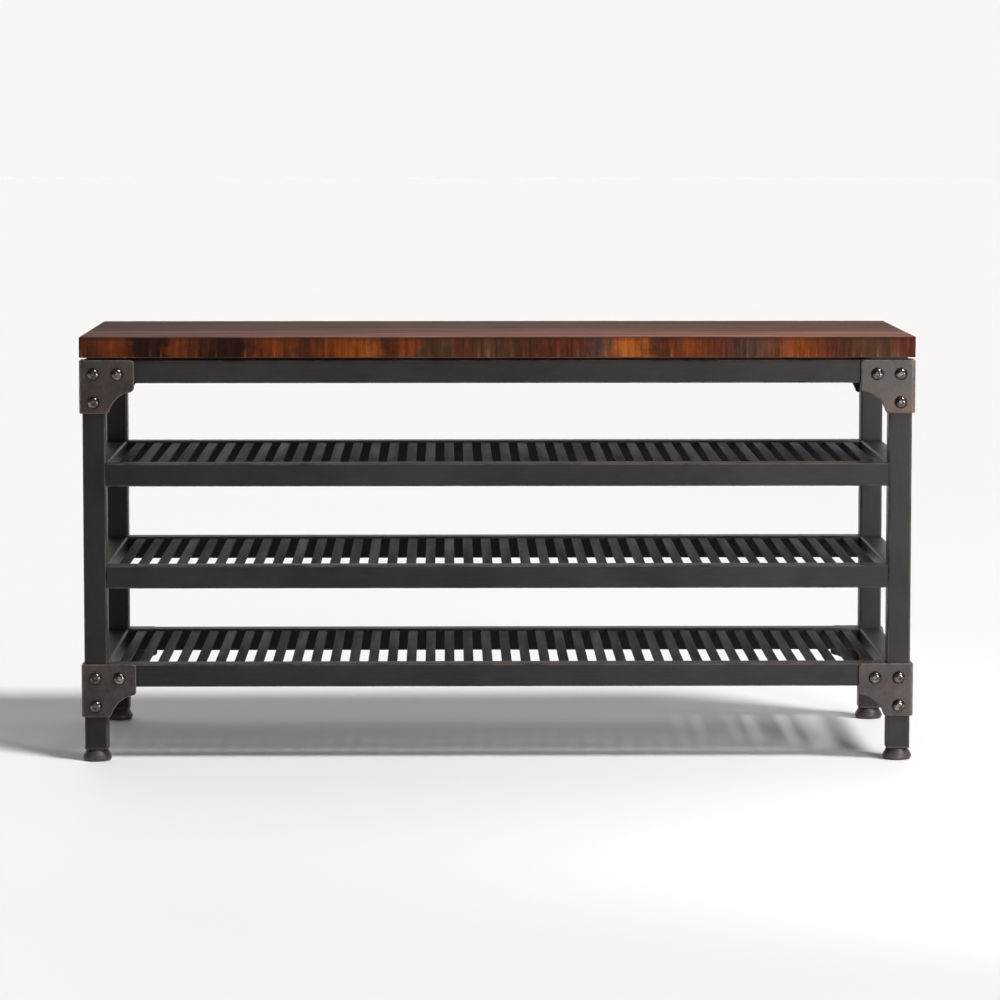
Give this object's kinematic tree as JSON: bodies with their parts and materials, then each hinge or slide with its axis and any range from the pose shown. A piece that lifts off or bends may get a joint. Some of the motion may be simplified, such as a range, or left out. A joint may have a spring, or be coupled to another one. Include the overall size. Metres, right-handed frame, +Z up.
{
  "type": "entryway bench",
  "caption": "Low plank-seat bench on a square-tube steel frame with slatted shoe shelves, bolted corner brackets and levelling feet.",
  "frame": {"origin": "on the floor under the middle of the bench's footprint", "axes": "+X along the length of the bench to its right end seen from the front, +Y in depth to the back, +Z up; the front faces -Y"},
  "size_m": [0.9142, 0.3664, 0.4675],
  "materials": {
    "seat_wood": "satin, stained reclaimed look",
    "frame_steel": "dark gunmetal, semi-matt",
    "slat_steel": "dark bronze-grey, semi-matt",
    "bracket_steel": "rubbed dark iron with a rusty tint",
    "fixing_steel": "polished, darkened in the recesses",
    "foot_plastic": "matt"
  },
  "bodies": {
    "frame": {"seat_plank_front": "seat_wood", "seat_plank_middle": "seat_wood", "seat_plank_back": "seat_wood", "seat_strip_left": "frame_steel", "seat_strip_right": "frame_steel", "seat_screws": "fixing_steel", "leg_front_left": "frame_steel", "leg_front_right": "frame_steel", "leg_back_left": "frame_steel", "leg_back_right": "frame_steel", "top_rail_front": "frame_steel", "top_rail_back": "frame_steel", "top_rail_left": "frame_steel", "top_rail_right": "frame_steel", "high_shelf_rail_front": "frame_steel", "high_shelf_rail_back": "frame_steel", "high_shelf_rail_left": "frame_steel", "high_shelf_rail_right": "frame_steel", "middle_shelf_rail_front": "frame_steel", "middle_shelf_rail_back": "frame_steel", "middle_shelf_rail_left": "frame_steel", "middle_shelf_rail_right": "frame_steel", "low_shelf_rail_front": "frame_steel", "low_shelf_rail_back": "frame_steel", "low_shelf_rail_left": "frame_steel", "low_shelf_rail_right": "frame_steel", "high_shelf_slats": "slat_steel", "middle_shelf_slats": "slat_steel", "low_shelf_slats": "slat_steel", "top_bracket_front_left": "bracket_steel", "top_bracket_front_right": "bracket_steel", "top_bracket_back_left": "bracket_steel", "top_bracket_back_right": "bracket_steel", "top_bracket_bolts": "fixing_steel", "low_bracket_front_left": "bracket_steel", "low_bracket_front_right": "bracket_steel", "low_bracket_back_left": "bracket_steel", "low_bracket_back_right": "bracket_steel", "low_bracket_bolts": "fixing_steel", "leg_insert_front_left": "foot_plastic", "leg_insert_front_right": "foot_plastic", "leg_insert_back_left": "foot_plastic", "leg_insert_back_right": "foot_plastic"},
    "foot_front_left": {"foot_pad_front_left": "foot_plastic", "foot_stem_front_left": "fixing_steel"},
    "foot_front_right": {"foot_pad_front_right": "foot_plastic", "foot_stem_front_right": "fixing_steel"},
    "foot_back_left": {"foot_pad_back_left": "foot_plastic", "foot_stem_back_left": "fixing_steel"},
    "foot_back_right": {"foot_pad_back_right": "foot_plastic", "foot_stem_back_right": "fixing_steel"}
  },
  "joints": [
    {"name": "foot_front_left_level", "type": "slide", "parent": "frame", "child": "foot_front_left", "axis": [0, 0, -1], "range_m": [0, 0.008]},
    {"name": "foot_front_right_level", "type": "slide", "parent": "frame", "child": "foot_front_right", "axis": [0, 0, -1], "range_m": [0, 0.008]},
    {"name": "foot_back_left_level", "type": "slide", "parent": "frame", "child": "foot_back_left", "axis": [0, 0, -1], "range_m": [0, 0.008]},
    {"name": "foot_back_right_level", "type": "slide", "parent": "frame", "child": "foot_back_right", "axis": [0, 0, -1], "range_m": [0, 0.008]}
  ]
}
